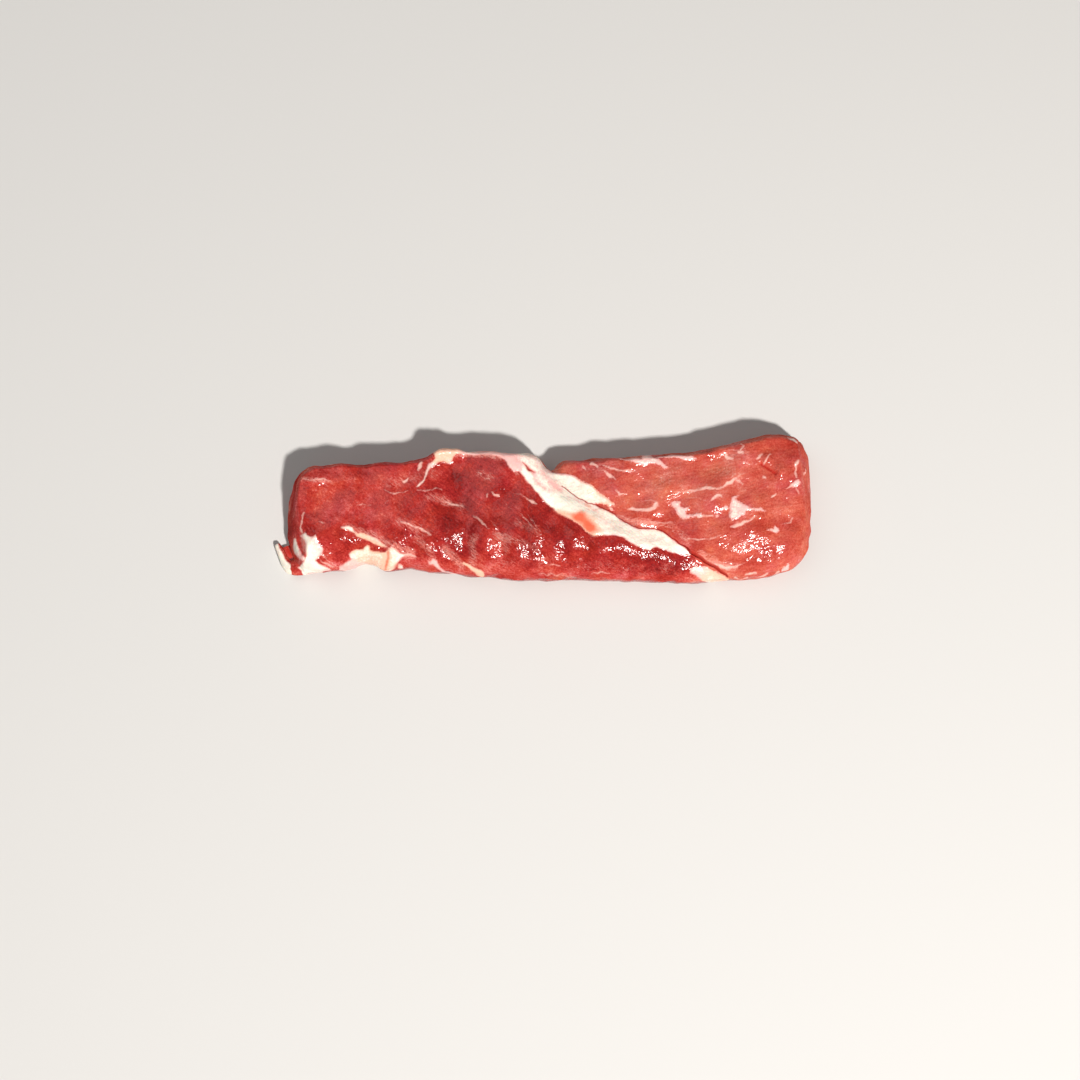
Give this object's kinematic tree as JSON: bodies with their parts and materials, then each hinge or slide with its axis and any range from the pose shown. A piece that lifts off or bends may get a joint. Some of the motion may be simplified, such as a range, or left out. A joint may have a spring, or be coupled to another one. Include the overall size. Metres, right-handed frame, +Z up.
{
  "type": "raw pork pluma",
  "caption": "Raw boneless pork pluma: a flat strip of a dark red and a paler muscle joined along a slanting, fat-covered seam.",
  "frame": {"origin": "centre of the bounding box at the underside, on the surface that the strip lies on", "axes": "+X along the strip towards its paler, wider end, +Y towards the back edge with the notch, +Z up"},
  "size_m": [0.2514, 0.0696, 0.0275],
  "materials": {
    "raw_pork": "moist raw lean, deep red at one end and coral pink at the other, with white fat along the seam and in thin streaks"
  },
  "bodies": {
    "root": {"pork_pluma": "raw_pork"}
  },
  "joints": []
}
